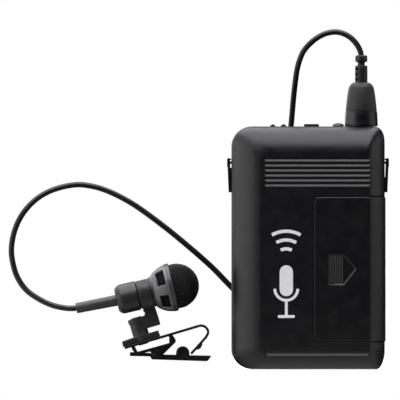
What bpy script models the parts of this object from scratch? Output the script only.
"""Wireless lavalier microphone: body-worn transmitter, screw-lock plug, cable,
miniature microphone, swivel holder and spring tie clip.

Lengths are millimetres and are turned into metres by MM.
Frame: +Z up, the transmitter's front faces -Y, and the origin is the centre of
the transmitter's flat underside. The microphone hangs on its cable off to -X.
"""
import bpy
import bmesh
from math import sin, cos, pi, radians, sqrt, hypot, atan2
from mathutils import Matrix, Vector

MM = 0.001
WELD_DISTANCE = 0.002    # points of a converted curve closer than this are joined
JOINT_DISPLAY_SIZE = 4.0

# ---------------------------------------------------------------- shared dimensions
# transmitter case
CASE_HALF_W = 32.2
CASE_H = 102.0
CASE_FRONT_Y = -11.5
CASE_BACK_Y = 11.5
PARTING_Y = -1.5
SPLIT_GAP = 0.3
WALL = 1.6
BEVEL_START_Y = -2.5
BEVEL_LEFT = 13.9
BEVEL_RIGHT = 5.7
BEVEL_TOP = 7.6
BEVEL_BOTTOM = 5.5
REAR_ROUND = 3.5
CORNER_STEPS = 4
BEVEL_STEPS = 5
REAR_ROUND_STEPS = 4
# corner radii (x, z) at the parting line, on the front face and on the back face
CORNER_LEFT, CORNER_RIGHT = (8.8, 8.4), (3.4, 8.0)
FRONT_CORNER_LEFT, FRONT_CORNER_RIGHT = (4.0, 3.4), (1.2, 2.6)
BACK_CORNER_LEFT, BACK_CORNER_RIGHT = (6.4, 6.0), (1.6, 5.6)

# case screws, as (x, z), and the posts they run through
SCREWS = ((-21.0, 7.0), (24.0, 7.0), (24.0, 77.5), (-21.0, 95.0))
POST_R = 2.5
POST_FRONT_Y = -10.2
POST_JOIN_Y = 3.0

# battery door
DOOR_LEFT_X = 2.7
DOOR_Z = (11.8, 72.2)
DOOR_CORNER = 1.7
DOOR_GAP = 0.3
DOOR_PROUD = 0.35
DOOR_CUT_X = CASE_HALF_W + 12    # the opening's outline runs out past the right side
DOOR_CUT_Y = -20

# controls on the top, in one row with the plug
CONTROL_Y = 3.0
POWER_X = (-1.7, 4.6)
MUTE_X = (-16.2, -8.9)
KNOB_Z = (99.95, 103.05)
KNOB_HALF_Y = 1.6
KNOB_TRAVEL = 2.0
LAMP_X = 12.8
PLUG_X = 22.4
PLUG_Y = CONTROL_Y
TOP_CUT_Z = (98, 104)            # span of the cuts through the top wall

# belt clip
CLIP_TOP_Z = 88.6
CLIP_BOTTOM_Z = 74.3
CLIP_AXIS_Y = 3.5
CLIP_AXIS_Z = 86.8

# microphone and tie clip frames: u runs along the microphone towards its head,
# v downwards across it
MIC_ORIGIN = (-67.8, 0.0, 31.9)
MIC_TILT = 13.5
TIE_TILT = 16.5
SWIVEL_U = -7.3
PIVOT_UV = (-2.9, 25.4)

# ---------------------------------------------------------------- start clean
for ob in list(bpy.data.objects):
    bpy.data.objects.remove(ob, do_unlink=True)

parts = bpy.data.collections.new("wireless_lavalier_microphone")
tools = bpy.data.collections.new("construction_shapes")
bpy.context.scene.collection.children.link(parts)
bpy.context.scene.collection.children.link(tools)

# ---------------------------------------------------------------- materials
# name: colour, roughness, metallic; each piece makes its own copy
FINISHES = {
    "case": ((0.012, 0.012, 0.015), 0.45, 0.0),
    "knob": ((0.02, 0.02, 0.022), 0.4, 0.0),
    "lens": ((0.35, 0.35, 0.36), 0.15, 0.0),
    "insulator": ((0.03, 0.03, 0.03), 0.5, 0.0),
    "tray": ((0.03, 0.03, 0.033), 0.5, 0.0),
    "cell": ((0.35, 0.27, 0.1), 0.3, 0.2),
    "pcb": ((0.02, 0.12, 0.05), 0.4, 0.0),
    "steel": ((0.6, 0.6, 0.62), 0.3, 1.0),
    "blackened": ((0.02, 0.02, 0.022), 0.35, 0.8),
    "nickel": ((0.7, 0.68, 0.64), 0.18, 1.0),
    "brass": ((0.7, 0.5, 0.2), 0.3, 1.0),
    "rubber": ((0.018, 0.018, 0.018), 0.6, 0.0),
    "cable": ((0.01, 0.01, 0.011), 0.45, 0.0),
    "micbody": ((0.03, 0.03, 0.033), 0.35, 0.4),
    "mesh": ((0.012, 0.012, 0.015), 0.5, 0.6),
    "foam": ((0.015, 0.015, 0.015), 0.95, 0.0),
    "white": ((0.7, 0.7, 0.68), 0.5, 0.0),
}


def make_material(name, finish):
    color, roughness, metallic = FINISHES[finish]
    material = bpy.data.materials.new(name)
    material.use_nodes = True
    inputs = material.node_tree.nodes["Principled BSDF"].inputs
    inputs["Base Color"].default_value = (*color, 1.0)
    inputs["Roughness"].default_value = roughness
    inputs["Metallic"].default_value = metallic
    material.diffuse_color = (*color, 1.0)
    return material


# ---------------------------------------------------------------- solids
def add_object(name, mesh, finish=None, frame=None):
    """A visible part, or a hidden construction shape when it has no finish."""
    ob = bpy.data.objects.new(name, mesh)
    (parts if finish else tools).objects.link(ob)
    if frame is not None:
        ob.matrix_world = frame
    if finish:
        mesh.materials.append(make_material(name, finish))
    else:
        ob.hide_render = True
        ob.display_type = "WIRE"
    return ob


def mesh_from(name, bm):
    mesh = bpy.data.meshes.new(name)
    bm.to_mesh(mesh)
    bm.free()
    return mesh


def add_box(bm, low, high):
    middle = [(a + b) / 2 * MM for a, b in zip(low, high)]
    size = [(b - a) * MM for a, b in zip(low, high)]
    matrix = Matrix.Translation(middle) @ Matrix.Diagonal((*size, 1))
    bmesh.ops.create_cube(bm, size=1.0, matrix=matrix)


def add_rod(bm, start, end, radius, segments):
    start, end = Vector(start) * MM, Vector(end) * MM
    along = end - start
    turn = along.to_track_quat("Z", "Y").to_matrix().to_4x4()
    bmesh.ops.create_cone(
        bm, cap_ends=True, segments=segments, radius1=radius * MM, radius2=radius * MM,
        depth=along.length, matrix=Matrix.Translation((start + end) / 2) @ turn)


def box(name, low, high, finish=None, frame=None, bevel=0.0):
    bm = bmesh.new()
    add_box(bm, low, high)
    ob = add_object(name, mesh_from(name, bm), finish, frame)
    if bevel:
        edge = ob.modifiers.new("edge", "BEVEL")
        edge.width = bevel * MM
        edge.segments = 1
    return ob


def tool_solid(name, shapes, frame=None):
    """Construction shape made of boxes, each (low corner, high corner), and
    rods, each (start, end, radius, segments)."""
    bm = bmesh.new()
    for start, end, *rod in shapes:
        if rod:
            add_rod(bm, start, end, *rod)
        else:
            add_box(bm, start, end)
    return add_object(name, mesh_from(name, bm), frame=frame)


def lathe(name, profile, steps, finish=None, frame=None, closed=False):
    """Turn (radius, height) points around local Z."""
    points = list(profile)
    edges = [(i, i + 1) for i in range(len(points) - 1)]
    if closed:
        doubled_area = sum(r0 * z1 - r1 * z0
                           for (r0, z0), (r1, z1) in zip(points, points[1:] + points[:1]))
        if doubled_area > 0:
            points.reverse()
        edges.append((len(points) - 1, 0))
    mesh = bpy.data.meshes.new(name)
    mesh.from_pydata([(radius * MM, 0, z * MM) for radius, z in points], edges, [])
    ob = add_object(name, mesh, finish, frame)
    turn = ob.modifiers.new("turn", "SCREW")
    turn.axis = "Z"
    turn.angle = 2 * pi
    turn.steps = steps
    turn.render_steps = steps
    turn.screw_offset = 0
    turn.use_merge_vertices = True
    turn.merge_threshold = 0.00001
    turn.use_smooth_shade = True
    return ob


def face_out(bm):
    """Make a closed mesh's faces point outwards."""
    bmesh.ops.recalc_face_normals(bm, faces=bm.faces)
    if bm.calc_volume(signed=True) < 0:
        bmesh.ops.reverse_faces(bm, faces=bm.faces)


def add_line(curve, points, cyclic=False):
    line = curve.splines.new("POLY")
    line.points.add(len(points) - 1)
    for point, (x, y, z) in zip(line.points, points):
        point.co = (x * MM, y * MM, z * MM, 1)
    line.use_cyclic_u = cyclic


def curve_to_bmesh(curve):
    carrier = bpy.data.objects.new(curve.name, curve)
    tools.objects.link(carrier)
    depsgraph = bpy.context.evaluated_depsgraph_get()
    mesh = bpy.data.meshes.new_from_object(carrier.evaluated_get(depsgraph))
    bpy.data.objects.remove(carrier, do_unlink=True)
    bm = bmesh.new()
    bm.from_mesh(mesh)
    bpy.data.meshes.remove(mesh)
    bmesh.ops.remove_doubles(bm, verts=bm.verts, dist=WELD_DISTANCE * MM)
    return bm


# where an outline's two coordinates and its thickness go in the object's x, y, z
PLANES = {
    "xz": lambda first, second, depth: (first, depth, second),
    "uv": lambda first, second, depth: (second, depth, first),
    "xy": lambda first, second, depth: (first, second, depth),
    "yz": lambda first, second, depth: (depth, first, second),
}


def plate(name, loops, low, high, plane, finish=None, frame=None):
    """Flat outline (first loop) with holes (further loops), low to high thick."""
    curve = bpy.data.curves.new(name + "_outline", "CURVE")
    curve.dimensions = "2D"
    curve.fill_mode = "BOTH"
    curve.extrude = (high - low) / 2 * MM
    for loop in loops:
        add_line(curve, [(x, y, 0) for x, y in loop], cyclic=True)
    bm = curve_to_bmesh(curve)
    middle = (low + high) / 2
    place = PLANES[plane]
    for vert in bm.verts:
        x, y, z = vert.co
        vert.co = Vector(place(x / MM, y / MM, z / MM + middle)) * MM
    face_out(bm)
    return add_object(name, mesh_from(name, bm), finish, frame)


def wire(name, points, radius, finish, resolution=2, frame=None):
    """Round wire along points, capped at both ends."""
    curve = bpy.data.curves.new(name + "_line", "CURVE")
    curve.dimensions = "3D"
    curve.bevel_depth = radius * MM
    curve.bevel_resolution = resolution
    curve.use_fill_caps = True
    curve.twist_mode = "MINIMUM"
    add_line(curve, points)
    bm = curve_to_bmesh(curve)
    face_out(bm)
    ob = add_object(name, mesh_from(name, bm), finish, frame)
    smooth(ob)
    return ob


def smooth(ob, angle=35):
    ob.data.shade_smooth()
    ob.data.set_sharp_from_angle(angle=radians(angle))


def boolean(ob, other, operation="DIFFERENCE"):
    modifier = ob.modifiers.new(operation.lower(), "BOOLEAN")
    modifier.operation = operation
    modifier.solver = "EXACT"
    modifier.object = other


# ---------------------------------------------------------------- joints
def joint(name, position, parent=None, turn_y=0.0):
    """Empty that moving parts hang from."""
    ob = bpy.data.objects.new(name, None)
    parts.objects.link(ob)
    ob.empty_display_size = JOINT_DISPLAY_SIZE * MM
    ob.matrix_world = (Matrix.Translation(Vector(position) * MM)
                       @ Matrix.Rotation(turn_y, 4, "Y"))
    if parent:
        placed = ob.matrix_world.copy()
        ob.parent = parent
        bpy.context.view_layer.update()
        ob.matrix_parent_inverse = parent.matrix_world.inverted()
        ob.matrix_world = placed
    bpy.context.view_layer.update()
    return ob


def hang(parent, *children):
    """Parent the children without moving them."""
    bpy.context.view_layer.update()
    for child in children:
        child.parent = parent
        child.matrix_parent_inverse = parent.matrix_world.inverted()


# ---------------------------------------------------------------- outlines
def arc(centre, radii, start, end, steps):
    """Points on an ellipse from start to end degrees."""
    angles = [radians(start + (end - start) * i / steps) for i in range(steps + 1)]
    return [(centre[0] + radii[0] * cos(angle), centre[1] + radii[1] * sin(angle))
            for angle in angles]


def round_arc(centre, radius, start, end, steps):
    return arc(centre, (radius, radius), start, end, steps)


def rounded_rect(x_span, z_span, left_radii, right_radii, steps):
    """Rectangle with elliptical corners, one pair of radii for each side."""
    x0, x1 = x_span
    z0, z1 = z_span
    left_x, left_z = left_radii
    right_x, right_z = right_radii
    return (
        arc((x1 - right_x, z1 - right_z), right_radii, 0, 90, steps)
        + arc((x0 + left_x, z1 - left_z), left_radii, 90, 180, steps)
        + arc((x0 + left_x, z0 + left_z), left_radii, 180, 270, steps)
        + arc((x1 - right_x, z0 + right_z), right_radii, 270, 360, steps)
    )


def strip(centre_line, thickness):
    """Outline of a bent strip about its centre line."""
    one_side, other_side = [], []
    for i, (x, y) in enumerate(centre_line):
        before = centre_line[max(i - 1, 0)]
        after = centre_line[min(i + 1, len(centre_line) - 1)]
        along_x, along_y = after[0] - before[0], after[1] - before[1]
        length = hypot(along_x, along_y)
        offset_x = along_y / length * thickness / 2
        offset_y = -along_x / length * thickness / 2
        one_side.append((x + offset_x, y + offset_y))
        other_side.append((x - offset_x, y - offset_y))
    return one_side + other_side[::-1]


def sphere_arc(radius, centre, start, end, steps):
    """Lathe profile of a sphere centred at a height, from height start to end."""
    first, last = (atan2(sqrt(max(radius * radius - (height - centre) ** 2, 0)), height - centre)
                   for height in (start, end))
    angles = [first + (last - first) * i / steps for i in range(steps + 1)]
    return [(radius * sin(angle), centre + radius * cos(angle)) for angle in angles]


# ---------------------------------------------------------------- frames
def at(x, y, z):
    return Matrix.Translation((x * MM, y * MM, z * MM))


def tilted_frame(tilt):
    """Local Z is u, local X is v and local Y is world Y."""
    return (Matrix.Translation(Vector(MIC_ORIGIN) * MM)
            @ Matrix.Rotation(radians(90 - tilt), 4, "Y"))


def world(frame, u, v, y=0.0):
    return tuple(c / MM for c in frame @ (Vector((v, y, u)) * MM))


Z_TO_Y = Matrix.Rotation(radians(-90), 4, "X")    # turns local Z to +Y
MIC = tilted_frame(MIC_TILT)
TIE = tilted_frame(TIE_TILT)
SWIVEL = TIE @ at(0, 0, SWIVEL_U) @ Matrix.Rotation(radians(90), 4, "Y")    # local Z is v
PLUG = at(PLUG_X, PLUG_Y, 0)


# ---------------------------------------------------------------- case shells
def falloff(depth, power):
    """Inset fraction of a bevel whose section is a super-ellipse."""
    return 1.0 - (1.0 - depth ** power) ** (1.0 / power)


def mix(start, end, fraction):
    return tuple(a + (b - a) * fraction for a, b in zip(start, end))


def case_ring(left, right, top, bottom, left_radii, right_radii, proud=0.0):
    """Case outline with each side moved in by its inset."""
    return rounded_rect((-CASE_HALF_W + left, CASE_HALF_W + proud - right),
                        (bottom, CASE_H - top), left_radii, right_radii, CORNER_STEPS)


def front_rings(proud=0.0):
    rings = [(PARTING_Y, case_ring(0, 0, 0, 0, CORNER_LEFT, CORNER_RIGHT, proud))]
    for i in range(BEVEL_STEPS + 1):
        depth = sin(i / BEVEL_STEPS * pi / 2)
        y = BEVEL_START_Y + (CASE_FRONT_Y - BEVEL_START_Y) * depth
        inset = falloff(depth, 2.0)
        rings.append((y, case_ring(
            left=BEVEL_LEFT * inset,
            right=(BEVEL_RIGHT + proud) * falloff(depth, 1.45),
            top=BEVEL_TOP * inset,
            bottom=BEVEL_BOTTOM * falloff(depth, 1.8),
            left_radii=mix(CORNER_LEFT, FRONT_CORNER_LEFT, inset),
            right_radii=mix(CORNER_RIGHT, FRONT_CORNER_RIGHT, inset),
            proud=proud)))
    return rings


def rear_rings():
    rings = [(PARTING_Y + SPLIT_GAP, case_ring(0, 0, 0, 0, CORNER_LEFT, CORNER_RIGHT))]
    for i in range(REAR_ROUND_STEPS + 1):
        angle = i / REAR_ROUND_STEPS * pi / 2
        y = CASE_BACK_Y - REAR_ROUND + REAR_ROUND * sin(angle)
        fraction = 1 - cos(angle)
        inset = REAR_ROUND * fraction
        rings.append((y, case_ring(inset, inset, inset, inset,
                                   mix(CORNER_LEFT, BACK_CORNER_LEFT, fraction),
                                   mix(CORNER_RIGHT, BACK_CORNER_RIGHT, fraction))))
    return rings


def shell(name, rings):
    """Open loft through (y, outline) rings with a flat end, thickened inwards."""
    bm = bmesh.new()
    loops = [[bm.verts.new((x * MM, y * MM, z * MM)) for x, z in ring] for y, ring in rings]
    for loop, following in zip(loops, loops[1:]):
        for i in range(len(loop)):
            j = (i + 1) % len(loop)
            bm.faces.new((loop[i], loop[j], following[j], following[i]))
    flat_end = bm.faces.new(loops[-1])
    bmesh.ops.recalc_face_normals(bm, faces=bm.faces)
    # an open shell can come out inside out, so the flat end decides
    if flat_end.normal.y * (rings[-1][0] - rings[0][0]) < 0:
        bmesh.ops.reverse_faces(bm, faces=bm.faces)
    ob = add_object(name, mesh_from(name, bm), "case")
    wall = ob.modifiers.new("wall", "SOLIDIFY")
    wall.thickness = WALL * MM
    wall.offset = -1
    wall.use_even_offset = True
    smooth(ob)
    return ob


def screw_rods(start_y, end_y, radius, segments):
    """One rod along Y at each case screw."""
    return [((x, start_y, z), (x, end_y, z), radius, segments) for x, z in SCREWS]


def door_outline(gap=0.0):
    corner = (DOOR_CORNER - gap, DOOR_CORNER - gap)
    return rounded_rect((DOOR_LEFT_X + gap, DOOR_CUT_X), (DOOR_Z[0] + gap, DOOR_Z[1] - gap),
                        corner, corner, 3)


# front cover: ribbed grip field high on the face, a thin groove near its foot
GROOVE_COUNT = 7
TOP_GROOVE_Z = 88.9
GROOVE_PITCH = 2.1
GROOVE_W = 1.0
GROOVE_X = (-18.0, 26.5)
GROOVE_DEPTH = 0.55
FOOT_GROOVE_Z = (5.2, 5.9)
FOOT_GROOVE_END_X = 25.6
SHALLOW_DEPTH = 0.3    # foot groove and the door's arrow

front_cuts = screw_rods(-7.5, POST_JOIN_Y + 1, 1.15, 10)
for i in range(GROOVE_COUNT):
    z = TOP_GROOVE_Z - GROOVE_PITCH * i
    front_cuts.append(((GROOVE_X[0], CASE_FRONT_Y - 1, z - GROOVE_W / 2),
                       (GROOVE_X[1], CASE_FRONT_Y + GROOVE_DEPTH, z + GROOVE_W / 2)))
front_cuts.append(((GROOVE_X[0], CASE_FRONT_Y - 1, FOOT_GROOVE_Z[0]),
                   (FOOT_GROOVE_END_X, CASE_FRONT_Y + SHALLOW_DEPTH, FOOT_GROOVE_Z[1])))

front_cover = shell("front_cover", front_rings())
front_posts = screw_rods(POST_FRONT_Y, POST_JOIN_Y, POST_R, 12)
boolean(front_cover, tool_solid("front_posts", front_posts), "UNION")
boolean(front_cover, tool_solid("front_cuts", front_cuts))
boolean(front_cover, plate("door_opening", [door_outline()], DOOR_CUT_Y, 0, "xz"))

# rear cover: screw heads sink into its back, controls and plug come through its top
KNOB_SLOT_GAP = 0.4
KNOB_SLOT_HALF_Y = 2.0
LAMP_HOLE_R = 2.35
PLUG_HOLE_R = 4.25
TRUNNION_HOLE_R = 1.7

rear_cuts = screw_rods(10.2, 13, 2.3, 12)
for left, right in (POWER_X, MUTE_X):
    rear_cuts.append((
        (left - KNOB_SLOT_GAP, CONTROL_Y - KNOB_SLOT_HALF_Y, TOP_CUT_Z[0]),
        (right + KNOB_TRAVEL + KNOB_SLOT_GAP, CONTROL_Y + KNOB_SLOT_HALF_Y, TOP_CUT_Z[1])))
for x, y, radius, segments in ((LAMP_X, CONTROL_Y, LAMP_HOLE_R, 16),
                               (PLUG_X, PLUG_Y, PLUG_HOLE_R, 20)):
    rear_cuts.append(((x, y, TOP_CUT_Z[0]), (x, y, TOP_CUT_Z[1]), radius, segments))
for side in (-1, 1):
    rear_cuts.append(((side * 29, CLIP_AXIS_Y, CLIP_AXIS_Z),
                      (side * 34, CLIP_AXIS_Y, CLIP_AXIS_Z), TRUNNION_HOLE_R, 12))

rear_cover = shell("rear_cover", rear_rings())
rear_bosses = screw_rods(POST_JOIN_Y + SPLIT_GAP, 10.6, POST_R, 12)
boolean(rear_cover, tool_solid("rear_bosses", rear_bosses), "UNION")
boolean(rear_cover, tool_solid("rear_bores", screw_rods(0, 10.3, 1.35, 10)))
boolean(rear_cover, tool_solid("rear_cuts", rear_cuts))

# battery door: the front shell again, a little proud at the side, kept inside the opening
DOOR_ARROW = [(8.4, 35.4), (15.1, 35.4), (20.6, 42.1), (15.1, 48.3), (8.4, 48.3)]    # (x, z)

battery_door = shell("battery_door", front_rings(DOOR_PROUD))
boolean(battery_door, plate("door_keep", [door_outline(DOOR_GAP)], DOOR_CUT_Y, 0, "xz"),
        "INTERSECT")
boolean(battery_door, plate("arrow_recess", [DOOR_ARROW], DOOR_CUT_Y,
                            CASE_FRONT_Y + SHALLOW_DEPTH, "xz"))
hang(joint("battery_door_slide", (DOOR_LEFT_X, CASE_FRONT_Y, sum(DOOR_Z) / 2)), battery_door)

# case screws, driven in from the back: (radius, y)
SCREW_PROFILE = [(0, 11.3), (1.5, 11.3), (2.0, 10.9), (2.0, 10.5),
                 (0.95, 10.5), (0.95, -5.6), (0.5, -6.4), (0, -6.4)]
for i, (x, z) in enumerate(SCREWS):
    lathe("case_screw_%d" % (i + 1), SCREW_PROFILE, 12, "steel", at(x, 0, z) @ Z_TO_Y)


# ---------------------------------------------------------------- inside the case
def hollow_box(name, low, high, hollow_name, hollow_low, hollow_high, finish):
    ob = box(name, low, high, finish)
    boolean(ob, tool_solid(hollow_name, [(hollow_low, hollow_high)]))


# battery, its open tray, and the contacts above and below it
CELL_X, CELL_Y = 19.0, -1.2
CELL_R = 7.2
CELL_PROFILE = [(0, 67.9), (2.7, 67.9), (2.7, 66.7), (6.6, 66.7),
                (CELL_R, 66.2), (CELL_R, 18.2), (6.8, 17.7), (0, 17.7)]
SPRING_TURNS = 2.75
SPRING_STEPS_PER_TURN = 8
SPRING_R = (5.2, 2.6)      # bottom, top
SPRING_Z = (14.1, 17.1)

hollow_box("battery_tray", (10.3, -3.0, 12.5), (27.7, 8.3, 70.3),
           "tray_hollow", (11.4, -6, 13.5), (26.6, 6.8, 69.3), "tray")
lathe("battery_cell", CELL_PROFILE, 20, "cell", at(CELL_X, CELL_Y, 0))
box("battery_contact", (CELL_X - 4.5, -4.5, 68.2), (CELL_X + 4.5, 2.5, 68.9), "nickel")


def battery_spring_points():
    count = int(SPRING_TURNS * SPRING_STEPS_PER_TURN)
    points = []
    for i in range(count + 1):
        fraction = i / count
        angle = fraction * SPRING_TURNS * 2 * pi
        radius, z = mix((SPRING_R[0], SPRING_Z[0]), (SPRING_R[1], SPRING_Z[1]), fraction)
        points.append((CELL_X + radius * cos(angle), CELL_Y + radius * sin(angle), z))
    return points


wire("battery_spring", battery_spring_points(), 0.35, "nickel", resolution=1)

# circuit board, shield can and bent antenna wire
ANTENNA_Y = 3.5
ANTENNA_XZ = [(-27.0, 18.0), (-27.0, 44.0), (-8.0, 44.0), (-8.0, 20.0), (-5.0, 20.0), (-5.0, 38.0)]

box("main_pcb", (-28.5, 4.9, 12.0), (9.8, 6.1, 90.0), "pcb")
hollow_box("rf_shield", (-26.5, 1.6, 48.0), (-6.5, 4.5, 82.0),
           "shield_hollow", (-26.1, 2.0, 48.4), (-6.9, 6.0, 81.6), "nickel")
wire("antenna", [(x, ANTENNA_Y, z) for x, z in ANTENNA_XZ], 0.5, "brass")

# slide switches and their knobs
for name, left, right in (("power_switch_body", -4.5, 7.5), ("mute_switch_body", -18.0, -6.5)):
    box(name, (left, -1.0, 91.0), (right, 7.0, 99.6), "tray", bevel=0.3)
KNOB_Y = (CONTROL_Y - KNOB_HALF_Y, CONTROL_Y + KNOB_HALF_Y)
KNOB_JOINT_Z = sum(KNOB_Z) / 2

power_knob = box("power_knob", (POWER_X[0], KNOB_Y[0], KNOB_Z[0]),
                 (POWER_X[1], KNOB_Y[1], KNOB_Z[1]), "knob", bevel=0.25)
hang(joint("power_slide", (sum(POWER_X) / 2, CONTROL_Y, KNOB_JOINT_Z)), power_knob)

# mute knob, notched in the middle of its top: (x, z)
NOTCH_Z = 101.9
MUTE_OUTLINE = [
    (MUTE_X[0], KNOB_Z[0]), (MUTE_X[1], KNOB_Z[0]), (MUTE_X[1], NOTCH_Z),
    (-9.2, KNOB_Z[1]), (-11.3, KNOB_Z[1]), (-11.3, NOTCH_Z),
    (-13.9, NOTCH_Z), (-13.9, KNOB_Z[1]), (-15.8, KNOB_Z[1]), (MUTE_X[0], NOTCH_Z)]
mute_knob = plate("mute_knob", [MUTE_OUTLINE], *KNOB_Y, "xz", "knob")
hang(joint("mute_slide", (-12.5, CONTROL_Y, KNOB_JOINT_Z)), mute_knob)

# status lamp under a domed lens
LENS_R = 2.7
LENS_Z = 102.3
LENS_RISE = 1.7
LAMP = at(LAMP_X, CONTROL_Y, 0)
dome = [(LENS_R * sin(radians(angle)), LENS_Z + LENS_RISE * cos(radians(angle)))
        for angle in range(0, 91, 18)]
lathe("status_lens", dome + [(2.1, 102.29), (2.1, 98.6), (0, 98.6)], 16, "lens", LAMP)
lathe("status_lamp", [(0, 98.2), (1.0, 98.0), (1.5, 97.2), (1.5, 93.5), (0, 93.5)],
      12, "lens", LAMP)

# two turned adjusters with a screwdriver slot in front:
# body name, low and high corner, rotor name, rotor z, steps, (radius, y) profile
ADJUSTER_X = 6.5
ADJUSTERS = (
    ("channel_selector_body", (3.4, -1.6, 56.5), (9.6, 4.6, 63.5), "channel_rotor", 60.0, 16,
     [(0, -3.8), (2.1, -3.8), (2.4, -3.5), (2.4, -1.9), (0, -1.9)]),
    ("gain_trimmer_body", (4.0, 0.6, 44.5), (9.0, 4.6, 49.5), "gain_rotor", 47.0, 12,
     [(0, -0.7), (1.7, -0.7), (1.7, 0.3), (0, 0.3)]),
)
for body_name, low, high, rotor_name, z, steps, profile in ADJUSTERS:
    box(body_name, low, high, "tray", bevel=0.3)
    rotor = lathe(rotor_name, profile, steps, "white", at(ADJUSTER_X, 0, z) @ Z_TO_Y)
    face_y = profile[0][1]
    boolean(rotor, box(rotor_name + "_slot", (ADJUSTER_X - 1.5, face_y - 1, z - 0.3),
                       (ADJUSTER_X + 1.5, face_y + 0.5, z + 0.3)))


# ---------------------------------------------------------------- socket and plug
def plug_rod(low, high, radius, segments):
    return [((PLUG_X, PLUG_Y, low), (PLUG_X, PLUG_Y, high), radius, segments)]


JACK_HALF_W = 6
jack_socket = box("jack_socket", (PLUG_X - JACK_HALF_W, PLUG_Y - JACK_HALF_W, 84.0),
                  (PLUG_X + JACK_HALF_W, PLUG_Y + JACK_HALF_W, 99.9), "tray")
boolean(jack_socket, tool_solid("jack_bushing", plug_rod(97, 105.8, 3.9, 20)), "UNION")
boolean(jack_socket, tool_solid("jack_bore", plug_rod(87.5, 107, 2.0, 16)))

nut_hexagon = round_arc((0, 0), 5.5, 0, 300, 5)
nut_hole = round_arc((0, 0), 4.15, 337.5, 0, 15)
plate("jack_nut", [nut_hexagon, nut_hole], 102.3, 104.0, "xy", "nickel", PLUG)

# plug profiles: (radius, z)
LOCK_RING_PROFILE = [
    (6.7, 108.4), (6.95, 106.9), (6.95, 102.7), (6.5, 102.6),
    (5.9, 102.6), (5.9, 107.3), (4.5, 107.3), (4.5, 108.4)]
PLUG_SHELL_PROFILE = [
    (3.6, 119.2), (4.5, 118.9), (5.2, 118.2), (5.65, 117.0), (6.1, 113.0), (6.5, 108.8),
    (6.3, 108.7), (4.2, 108.7), (4.2, 107.0), (5.5, 107.0), (5.5, 106.2), (2.0, 106.2),
    (2.0, 110.0), (4.2, 110.0), (4.2, 117.4), (2.85, 117.4), (2.85, 119.2)]
PLUG_SLEEVE_PROFILE = [
    (3.8, 111.4), (3.8, 110.3), (1.75, 110.3), (1.75, 94.5), (1.25, 94.5), (1.25, 111.4)]
PLUG_INSULATOR_PROFILE = [(1.15, 112.6), (1.15, 94.2), (0.75, 94.2), (0.75, 112.6)]
PLUG_TIP_PROFILE = [
    (0, 113.0), (0.62, 113.0), (0.62, 94.0), (1.7, 93.9), (1.75, 93.2),
    (1.15, 92.5), (1.7, 91.5), (1.3, 90.8), (0.4, 90.2), (0, 90.2)]
RELIEF_R = 2.6
RELIEF_GROOVES_Z = (126.2, 123.9, 121.6)
relief_profile = [
    (3.8, 117.1), (3.8, 116.0), (1.4, 116.0), (1.4, 132.3), (2.3, 132.3),
    (2.5, 131.7), (2.5, 129.4), (1.9, 129.1), (1.9, 127.9), (RELIEF_R, 127.5)]
for z in RELIEF_GROOVES_Z:
    relief_profile += [(RELIEF_R, z), (1.95, z - 0.1), (1.95, z - 0.9), (RELIEF_R, z - 1.0)]
relief_profile += [(RELIEF_R, 117.1)]

lock_ring = lathe("lock_ring", LOCK_RING_PROFILE, 20, "blackened", PLUG, closed=True)
plug_parts = [
    lathe("plug_shell", PLUG_SHELL_PROFILE, 20, "rubber", PLUG, closed=True),
    lathe("plug_sleeve", PLUG_SLEEVE_PROFILE, 14, "nickel", PLUG, closed=True),
    lathe("plug_insulator", PLUG_INSULATOR_PROFILE, 10, "insulator", PLUG, closed=True),
    lathe("plug_tip", PLUG_TIP_PROFILE, 14, "nickel", PLUG),
    lathe("strain_relief", relief_profile, 12, "rubber", PLUG, closed=True),
]

# ---------------------------------------------------------------- cable
CABLE_R = 1.15
HINGE_GAP = 0.4
SAMPLES_PER_SPAN = 24

# way points (x, y, z) of the three lengths, each starting where the last one ends
LEAD_UP = [
    (PLUG_X, PLUG_Y, 113.6), (PLUG_X, PLUG_Y, 123.0), (PLUG_X, PLUG_Y, 131.5), (21.7, 3, 134.4),
    (20.0, 3, 137.2), (17.6, 3, 139.6), (14.6, 3, 141.2), (11.3, 3, 141.75)]
TOP_HINGE = LEAD_UP[-1]
LEAD_DOWN = [
    TOP_HINGE, (7.2, 3.1, 141.0), (3.4, 3.4, 139.0), (0.4, 4.0, 136.4),
    (-1.9, 4.9, 133.6), (-3.4, 6.2, 130.2), (-4.7, 8.4, 126.0), (-5.6, 11.0, 120.8),
    (-6.3, 13.9, 114.5), (-7.0, 16.4, 107.5), (-7.6, 18.3, 100.0), (-8.8, 19.0, 88.0),
    (-10.4, 19.0, 70.0), (-12.2, 18.6, 50.0), (-14.0, 18.0, 35.0), (-16.4, 17.5, 27.0),
    (-20.0, 17.2, 25.0), (-25.0, 16.9, 27.8), (-31.9, 16.4, 34.1), (-40.5, 15.6, 42.9),
    (-52.5, 14.0, 53.4), (-63.0, 12.4, 61.8), (-74.8, 10.3, 70.1), (-85.1, 8.5, 75.2),
    (-92.0, 7.2, 77.1), (-98.0, 6.1, 77.5), (-107.7, 4.6, 75.2), (-114.6, 3.4, 71.2),
    (-120.1, 2.4, 65.1), (-123.3, 1.5, 58.4), (-124.7, 0.8, 50.8)]
LOOP_HINGE = LEAD_DOWN[-1]
LEAD_MIC = [
    LOOP_HINGE, (-124.2, 0.5, 45.2), (-122.3, 0.3, 38.9), (-118.6, 0.1, 33.4),
    (-113.4, 0.0, 29.4), (-107.6, 0.0, 27.0), (-102.0, 0.0, 25.9),
    world(MIC, -30.2, 0), world(MIC, -22.0, 0), world(MIC, -11.6, 0)]


def blend(first, second, first_knot, second_knot, t):
    span = second_knot - first_knot
    return first * ((second_knot - t) / span) + second * ((t - first_knot) / span)


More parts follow.
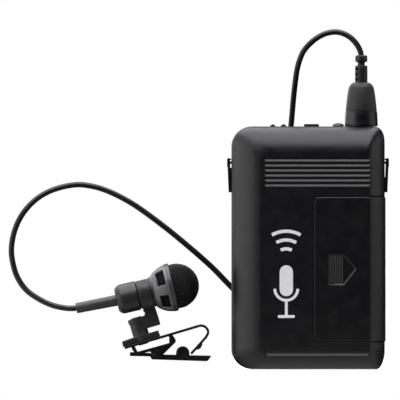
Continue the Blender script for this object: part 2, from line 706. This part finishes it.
def dense_curve(way_points):
    """Closely spaced points on the centripetal curve through the way points."""
    points = [Vector(point) for point in way_points]
    points = [points[0] * 2 - points[1]] + points + [points[-1] * 2 - points[-2]]
    dense = []
    for i in range(len(points) - 3):
        four = points[i:i + 4]
        knots = [0.0]
        for start, end in zip(four, four[1:]):
            knots.append(knots[-1] + sqrt((end - start).length))
        for k in range(SAMPLES_PER_SPAN):
            t = knots[1] + (knots[2] - knots[1]) * k / SAMPLES_PER_SPAN
            three = [blend(four[j], four[j + 1], knots[j], knots[j + 1], t) for j in range(3)]
            two = [blend(three[j], three[j + 1], knots[j], knots[j + 2], t) for j in range(2)]
            dense.append(blend(two[0], two[1], knots[1], knots[2], t))
    dense.append(points[-2])
    return dense


def even_curve(way_points, step):
    """The same curve resampled at an even step."""
    dense = dense_curve(way_points)
    lengths = [0.0]
    for start, end in zip(dense, dense[1:]):
        lengths.append(lengths[-1] + (end - start).length)
    count = max(2, round(lengths[-1] / step))
    even, j = [], 0
    for i in range(count + 1):
        wanted = lengths[-1] * i / count
        while j < len(dense) - 2 and lengths[j + 1] < wanted:
            j += 1
        fraction = (wanted - lengths[j]) / max(lengths[j + 1] - lengths[j], 1e-9)
        even.append(dense[j].lerp(dense[j + 1], min(max(fraction, 0), 1)))
    return even


def cable(name, way_points, step, start_gap, end_gap):
    """Cable length shortened by a gap at either end."""
    points = even_curve(way_points, step)
    if start_gap:
        points[0] = points[0] + (points[1] - points[0]).normalized() * start_gap
    if end_gap:
        points[-1] = points[-1] + (points[-2] - points[-1]).normalized() * end_gap
    return wire(name, points, CABLE_R, "cable")


cable_plug_end = cable("cable_plug_end", LEAD_UP, 4.0, 0, HINGE_GAP)
cable_main = cable("cable_main", LEAD_DOWN, 5.6, HINGE_GAP, HINGE_GAP)
cable_mic_end = cable("cable_mic_end", LEAD_MIC, 4.6, HINGE_GAP, 0)

# ---------------------------------------------------------------- microphone
# profiles: (radius, u)
BARREL_R = 6.2
CAGE_CENTRE_U = 10.3
GRILLE_CENTRE_U = 12.4
FOAM_CENTRE_U = 11.6
BOOT_PROFILE = [
    (3.8, -10.6), (3.8, -12.0), (2.45, -12.0), (2.45, -14.5), (2.3, -22.0),
    (2.05, -29.5), (1.8, -30.3), (1.4, -30.3), (1.4, -10.6)]
BARREL_PROFILE = [
    (4.75, 4.6), (4.75, 2.3), (6.0, 2.3), (6.0, 1.95), (5.4, 1.9), (5.4, -3.7),
    (BARREL_R, -3.8), (BARREL_R, -11.8), (5.6, -13.2), (4.8, -13.9),
    (2.75, -13.9), (2.75, -12.4), (4.3, -12.4), (4.3, 4.6)]
CAPSULE_PROFILE = [(0, 14.4), (3.0, 14.4), (3.2, 14.0), (4.5, 14.0), (4.5, 9.3), (0, 9.3)]
CAPSULE_HOLDER_PROFILE = [
    (4.3, 8.9), (4.3, 7.6), (3.9, 7.4), (3.9, 0.5),
    (3.0, 0.5), (3.0, 7.9), (0.8, 7.9), (0.8, 8.9)]
cage_profile = (sphere_arc(10.2, CAGE_CENTRE_U, 10.5, 2.7, 4) + [(5.1, 2.6)]
                + sphere_arc(9.1, CAGE_CENTRE_U, 3.2, 10.5, 4))
grille_profile = (sphere_arc(9.4, GRILLE_CENTRE_U, 21.8, 10.8, 6)
                  + sphere_arc(8.6, GRILLE_CENTRE_U, 10.8, 21.0, 5))
foam_profile = (sphere_arc(7.4, FOAM_CENTRE_U, 19.0, 6.4, 4)
                + sphere_arc(6.2, FOAM_CENTRE_U, 7.2, 17.8, 4))

cable_boot = lathe("cable_boot", BOOT_PROFILE, 14, "rubber", MIC, closed=True)
mic_barrel = lathe("mic_barrel", BARREL_PROFILE, 20, "micbody", MIC, closed=True)
head_cage = lathe("head_cage", cage_profile, 20, "micbody", MIC, closed=True)
grille = lathe("grille", grille_profile, 20, "mesh", MIC)
foam_liner = lathe("foam_liner", foam_profile, 12, "foam", MIC)
capsule = lathe("capsule", CAPSULE_PROFILE, 18, "steel", MIC)
capsule_holder = lathe("capsule_holder", CAPSULE_HOLDER_PROFILE, 14, "rubber", MIC, closed=True)

# windows around the cage
WINDOW_COUNT = 5
WINDOW_START = 33
WINDOW_SIZE = (6.7, 7, 3.7)
bm = bmesh.new()
for i in range(WINDOW_COUNT):
    turn = Matrix.Rotation(-radians(WINDOW_START - 360 / WINDOW_COUNT * i), 4, "Z")
    scale = Matrix.Diagonal((*(size * MM for size in WINDOW_SIZE), 1))
    bmesh.ops.create_cube(bm, size=1.0, matrix=turn @ at(0, -9.0, 6.2) @ scale)
boolean(head_cage, add_object("cage_windows", mesh_from("cage_windows", bm), frame=MIC))


# ---------------------------------------------------------------- holder
def swivel_rod(start_v, end_v, radius, segments):
    """Rod across the tie frame on the swivel's axis."""
    return [((start_v, 0, SWIVEL_U), (end_v, 0, SWIVEL_U), radius, segments)]


# spring ring open at the top, with a stem, foot and round boss below
RING_INNER_R, RING_OUTER_R = 5.62, 6.95
RING_HALF_ANGLE = 109
BOSS_PROFILE = [(0, 14.3), (3.25, 14.3), (3.25, 10.6), (3.75, 10.55), (3.75, 8.5), (0, 8.5)]

ring_outline = (round_arc((0, 0), RING_OUTER_R, -RING_HALF_ANGLE, RING_HALF_ANGLE, 18)
                + round_arc((0, 0), RING_INNER_R, RING_HALF_ANGLE, -RING_HALF_ANGLE, 18))
mic_holder = plate("mic_holder", [ring_outline], -3.1, 1.8, "xy", "rubber", MIC)
boolean(mic_holder, tool_solid("holder_stem", [((6.1, -2.6, -3.0), (9.8, 2.6, 1.7))], MIC),
        "UNION")
boolean(mic_holder, tool_solid("holder_foot", [((8.9, -3.2, -7.3), (14.3, 3.2, 1.8))], TIE),
        "UNION")
boolean(mic_holder, lathe("holder_boss", BOSS_PROFILE, 20, frame=SWIVEL), "UNION")
boolean(mic_holder, tool_solid("holder_bore", swivel_rod(5, 16, 1.65, 12), TIE))

# ---------------------------------------------------------------- tie clip
# rivet through the holder, the saddle and the upper jaw: (radius, v)
RIVET_HOLE_R = 1.7
RIVET_PROFILE = [(0, 20.6), (2.2, 20.6), (2.2, 20.1), (1.45, 20.1),
                 (1.45, 8.2), (2.5, 8.15), (2.3, 7.4), (0, 7.3)]
swivel_rivet = lathe("swivel_rivet", RIVET_PROFILE, 12, "blackened", SWIVEL)

clip_saddle = box("clip_saddle", (16.3, -4.0, -15.8), (18.6, 4.0, 0.2), "rubber", TIE, bevel=0.3)
boolean(clip_saddle, tool_solid("saddle_stud", swivel_rod(14.6, 17, 3.25, 20), TIE), "UNION")
boolean(clip_saddle, tool_solid("saddle_bore", swivel_rod(13, 20, RIVET_HOLE_R, 12), TIE))

# upper jaw: strip bent over a round nose and back, with side cheeks down to the
# pivot; outlines are (u, v)
JAW_SHEET = 1.05
NOSE_CENTRE = (17.2, 22.42)
NOSE_R = 3.0
STRIP_V = 19.42
JAW_LINE = [(-15.5, STRIP_V), (0.0, STRIP_V), (NOSE_CENTRE[0], STRIP_V)] + [
    (NOSE_CENTRE[0] + NOSE_R * sin(radians(angle)), NOSE_CENTRE[1] - NOSE_R * cos(radians(angle)))
    for angle in (25, 50, 75, 95)
] + [(19.9, 23.6), (18.9, 24.7), (15.0, 27.2), (11.1, 29.65)]
CHEEK = ([(-12.7, 19.2), (-12.6, 20.9), (-11.7, 23.5), (-5.6, 23.9)]
         + round_arc(PIVOT_UV, 2.3, 180, 40, 4) + [(6.4, 22.9), (5.2, 19.2)])
CHEEK_WINDOW = [(-10.7, 22.5), (3.1, 22.75), (3.9, 19.95), (-11.1, 19.95)]
CHEEK_PIN_HOLE = round_arc(PIVOT_UV, 1.0, 0, 324, 9)
TOOTH = [(16.6, 26.0), (16.3, 27.4), (15.2, 28.6), (13.8, 28.9), (13.2, 28.2)]

clip_upper_jaw = plate("clip_upper_jaw", [strip(JAW_LINE, JAW_SHEET)], -4.0, 4.0, "uv",
                       "blackened", TIE)
for name, low, high in (("cheek_left", -3.99, -3.2), ("cheek_right", 3.2, 3.99)):
    cheek = plate(name, [CHEEK, CHEEK_WINDOW, CHEEK_PIN_HOLE], low, high, "uv", frame=TIE)
    boolean(clip_upper_jaw, cheek, "UNION")
boolean(clip_upper_jaw, plate("jaw_tooth", [TOOTH], -3.9, 3.9, "uv", frame=TIE), "UNION")
boolean(clip_upper_jaw, tool_solid("jaw_rivet_hole", swivel_rod(18, 21, RIVET_HOLE_R, 12), TIE))

# lower jaw: humped bar hollowed from above; its frame is at the pivot, level with
# the world, and its outlines are (x, z)
PIVOT = world(TIE, *PIVOT_UV)
JAW = Matrix.Translation(Vector(PIVOT) * MM)
HUMP_X, HUMP_Z, HUMP_R = 10.7, 0.1, 2.8
LOWER_JAW = (
    [(-11.5, -1.2), (-2.4, -2.6), (20.9, -3.4), (22.7, -1.1), (HUMP_X + HUMP_R - 0.1, -0.9)]
    + round_arc((HUMP_X, HUMP_Z), HUMP_R, 0, 180, 6)
    + [(HUMP_X - HUMP_R + 0.1, -0.7), (2.4, -0.6), (1.5, 0.8), (0.6, 1.5), (-0.8, 1.5),
       (-1.6, 0.8), (-2.4, -0.4), (-11.5, 0.1)])
JAW_CHANNEL = [(-13, -0.55), (-3.2, -0.55), (-3.2, -1.9), (2.6, -1.9), (2.6, 3), (-13, 3)]
PIN_PROFILE = [(0, 4.7), (1.3, 4.7), (1.4, 4.3), (0.8, 4.3),    # (radius, y)
               (0.8, -4.3), (1.4, -4.3), (1.3, -4.7), (0, -4.7)]

clip_lower_jaw = plate("clip_lower_jaw", [LOWER_JAW], -2.85, 2.85, "xz", "blackened", JAW)
boolean(clip_lower_jaw, plate("jaw_channel", [JAW_CHANNEL], -2.15, 2.15, "xz", frame=JAW))
boolean(clip_lower_jaw, tool_solid("jaw_pin_hole", [((0, -5, 0), (0, 5, 0), 1.0, 12)], JAW))
clip_pin = lathe("clip_pivot_pin", PIN_PROFILE, 12, "steel", JAW @ Z_TO_Y)

# torsion spring: a leg under the strip, coils on the pin, a leg in the lower handle
COIL_R = 1.35
COIL_HALF_Y = 1.5
COIL_START, COIL_END = 105.0, -810.0    # degrees
COIL_STEPS = 22
UPPER_LEG_UV = ((-12.0, 20.5), (-11.0, 22.9), (-5.2, 23.4))
LOWER_LEG_XZ = ((-1.6, -1.15), (-3.0, -0.15), (-10.6, -0.15))

spring_points = [Vector(world(TIE, u, v, COIL_HALF_Y)) - Vector(PIVOT) for u, v in UPPER_LEG_UV]
for i in range(COIL_STEPS + 1):
    angle = radians(COIL_START + (COIL_END - COIL_START) * i / COIL_STEPS)
    y = COIL_HALF_Y - 2 * COIL_HALF_Y * i / COIL_STEPS
    spring_points.append(Vector((COIL_R * cos(angle), y, COIL_R * sin(angle))))
spring_points += [Vector((x, -COIL_HALF_Y, z)) for x, z in LOWER_LEG_XZ]
clip_spring = wire("clip_spring", spring_points, 0.3, "steel", resolution=1, frame=JAW)

# ---------------------------------------------------------------- belt clip
# sheet bent round both sides and the back of the case, narrowing downwards, with
# a tongue down the back
OUTER_X, INNER_X = 34.6, 33.8
ARM_END_Y = -2.0
OUTER_BEND_R, OUTER_BEND_Y = 2.0, 11.6
INNER_BEND_R, INNER_BEND_Y = 1.2, 11.2
BOTTOM_NARROWING = 0.024
TONGUE_SHEET = 1.2
TONGUE_LINE = [(13.0, 82.0), (13.1, 60.0), (13.0, 30.0), (13.6, 24.5), (15.0, 20.5)]    # (y, z)

outer_centre_x = OUTER_X - OUTER_BEND_R
inner_centre_x = INNER_X - INNER_BEND_R
belt_outline = (
    [(OUTER_X, ARM_END_Y)]
    + round_arc((outer_centre_x, OUTER_BEND_Y), OUTER_BEND_R, 0, 90, 4)
    + round_arc((-outer_centre_x, OUTER_BEND_Y), OUTER_BEND_R, 90, 180, 4)
    + [(-OUTER_X, ARM_END_Y), (-INNER_X, ARM_END_Y)]
    + round_arc((-inner_centre_x, INNER_BEND_Y), INNER_BEND_R, 180, 90, 3)
    + round_arc((inner_centre_x, INNER_BEND_Y), INNER_BEND_R, 90, 0, 3)
    + [(INNER_X, ARM_END_Y)])
belt_clip = plate("belt_clip", [belt_outline], CLIP_BOTTOM_Z, CLIP_TOP_Z, "xy", "blackened")
for vert in belt_clip.data.vertices:
    drop = (CLIP_TOP_Z - vert.co.z / MM) / (CLIP_TOP_Z - CLIP_BOTTOM_Z)
    vert.co.x *= 1 - BOTTOM_NARROWING * drop
trunnions = [((side * 31.3, CLIP_AXIS_Y, CLIP_AXIS_Z), (side * 34.2, CLIP_AXIS_Y, CLIP_AXIS_Z),
              1.4, 12) for side in (-1, 1)]
boolean(belt_clip, tool_solid("clip_trunnions", trunnions), "UNION")
boolean(belt_clip, plate("clip_tongue", [strip(TONGUE_LINE, TONGUE_SHEET)], -6.0, 6.0, "yz"),
        "UNION")

# ---------------------------------------------------------------- joint tree
hang(joint("belt_clip_hinge", (0, CLIP_AXIS_Y, CLIP_AXIS_Z)), belt_clip)

plug_slide = joint("plug_slide", (PLUG_X, PLUG_Y, 102.0))
ring_spin = joint("lock_ring_spin", (PLUG_X, PLUG_Y, 105.0), plug_slide)
hang(plug_slide, *plug_parts, cable_plug_end)
hang(ring_spin, lock_ring)

top_flex = joint("cable_flex_top", TOP_HINGE, plug_slide)
hang(top_flex, cable_main)
loop_flex = joint("cable_flex_loop", LOOP_HINGE, top_flex)
hang(loop_flex, cable_mic_end, cable_boot, mic_barrel, head_cage, grille, foam_liner,
     capsule, capsule_holder)

holder_twist = joint("holder_twist", MIC_ORIGIN, loop_flex, radians(90 - MIC_TILT))
hang(holder_twist, mic_holder)
clip_swivel = joint("clip_swivel", world(TIE, SWIVEL_U, 14.5), holder_twist,
                    radians(90 - TIE_TILT))
hang(clip_swivel, swivel_rivet, clip_saddle, clip_upper_jaw, clip_spring)
jaw_open = joint("jaw_open", PIVOT, clip_swivel)
hang(jaw_open, clip_lower_jaw, clip_pin)
